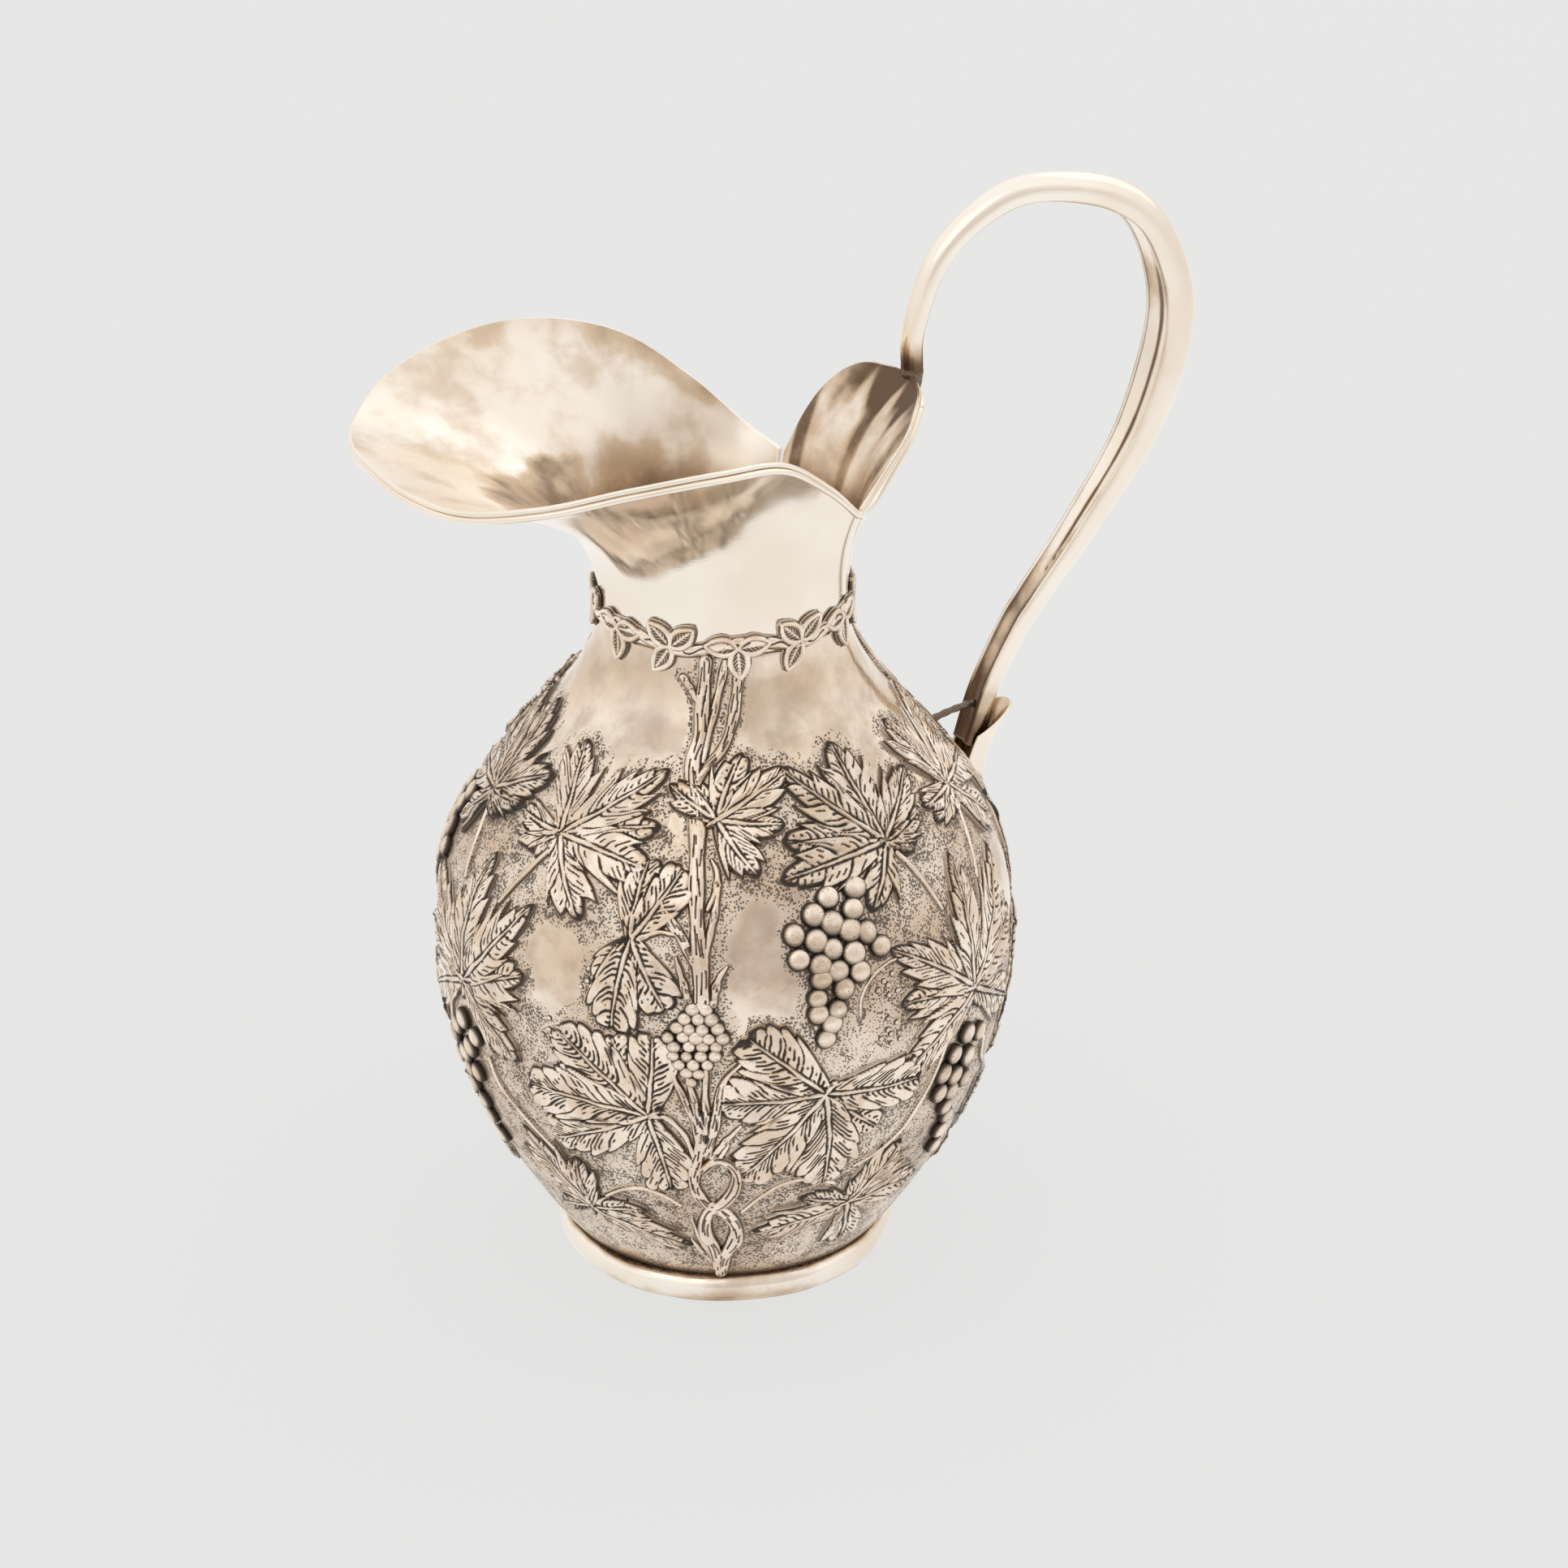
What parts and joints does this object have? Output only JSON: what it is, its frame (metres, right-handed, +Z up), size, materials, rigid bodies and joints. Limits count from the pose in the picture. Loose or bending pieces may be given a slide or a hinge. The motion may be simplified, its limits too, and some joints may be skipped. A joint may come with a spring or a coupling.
{
  "type": "water pitcher",
  "caption": "Silver water pitcher with a bulbous body, wide flaring spout, arched hollow handle, plain foot ring and applied grapevine ornament.",
  "frame": {"origin": "middle of the overall box, on the plane that the foot ring stands on", "axes": "+Z up, +X towards the handle, -X towards the spout, Y across"},
  "size_m": [0.2121, 0.1416, 0.2596],
  "materials": {
    "chased_silver": "stippled and darkened silver ground",
    "polished_silver": "polished silver with light tarnish",
    "cast_silver": "cast silver, bright on top and dark in the hollows"
  },
  "bodies": {
    "root": {"body_shell": "chased_silver", "foot_ring": "polished_silver", "neck_spout": "polished_silver", "neck_back_lip": "polished_silver", "spout_rim_wire": "polished_silver", "back_rim_wire": "polished_silver", "handle_shell": "polished_silver", "handle_inner_strip": "polished_silver", "collar_garland": "cast_silver", "handle_socket_leaf": "cast_silver", "handle_strut_twig": "cast_silver", "vine_trunk_1": "cast_silver", "vine_trunk_2": "cast_silver", "vine_trunk_3": "cast_silver", "vine_strand_1": "cast_silver", "vine_strand_2": "cast_silver", "vine_strand_3": "cast_silver", "trunk_grapes_1": "cast_silver", "trunk_grapes_2": "cast_silver", "trunk_grapes_3": "cast_silver", "upper_leaf_left_1": "cast_silver", "upper_leaf_left_2": "cast_silver", "upper_leaf_left_3": "cast_silver", "upper_leaf_right_1": "cast_silver", "upper_leaf_right_2": "cast_silver", "upper_leaf_right_3": "cast_silver", "side_leaf_1": "cast_silver", "side_leaf_2": "cast_silver", "side_leaf_3": "cast_silver", "hanging_leaf_1": "cast_silver", "hanging_leaf_2": "cast_silver", "hanging_leaf_3": "cast_silver", "lower_leaf_left_1": "cast_silver", "lower_leaf_left_2": "cast_silver", "lower_leaf_left_3": "cast_silver", "lower_leaf_right_1": "cast_silver", "lower_leaf_right_2": "cast_silver", "lower_leaf_right_3": "cast_silver", "bottom_leaf_left_1": "cast_silver", "bottom_leaf_left_2": "cast_silver", "bottom_leaf_left_3": "cast_silver", "bottom_leaf_right_1": "cast_silver", "bottom_leaf_right_2": "cast_silver", "bottom_leaf_right_3": "cast_silver", "grape_bunch_1": "cast_silver", "grape_bunch_2": "cast_silver", "grape_bunch_3": "cast_silver", "side_grapes_1": "cast_silver", "side_grapes_2": "cast_silver", "side_grapes_3": "cast_silver", "trunk_leaf_2": "cast_silver", "trunk_leaf_3": "cast_silver"}
  },
  "joints": []
}
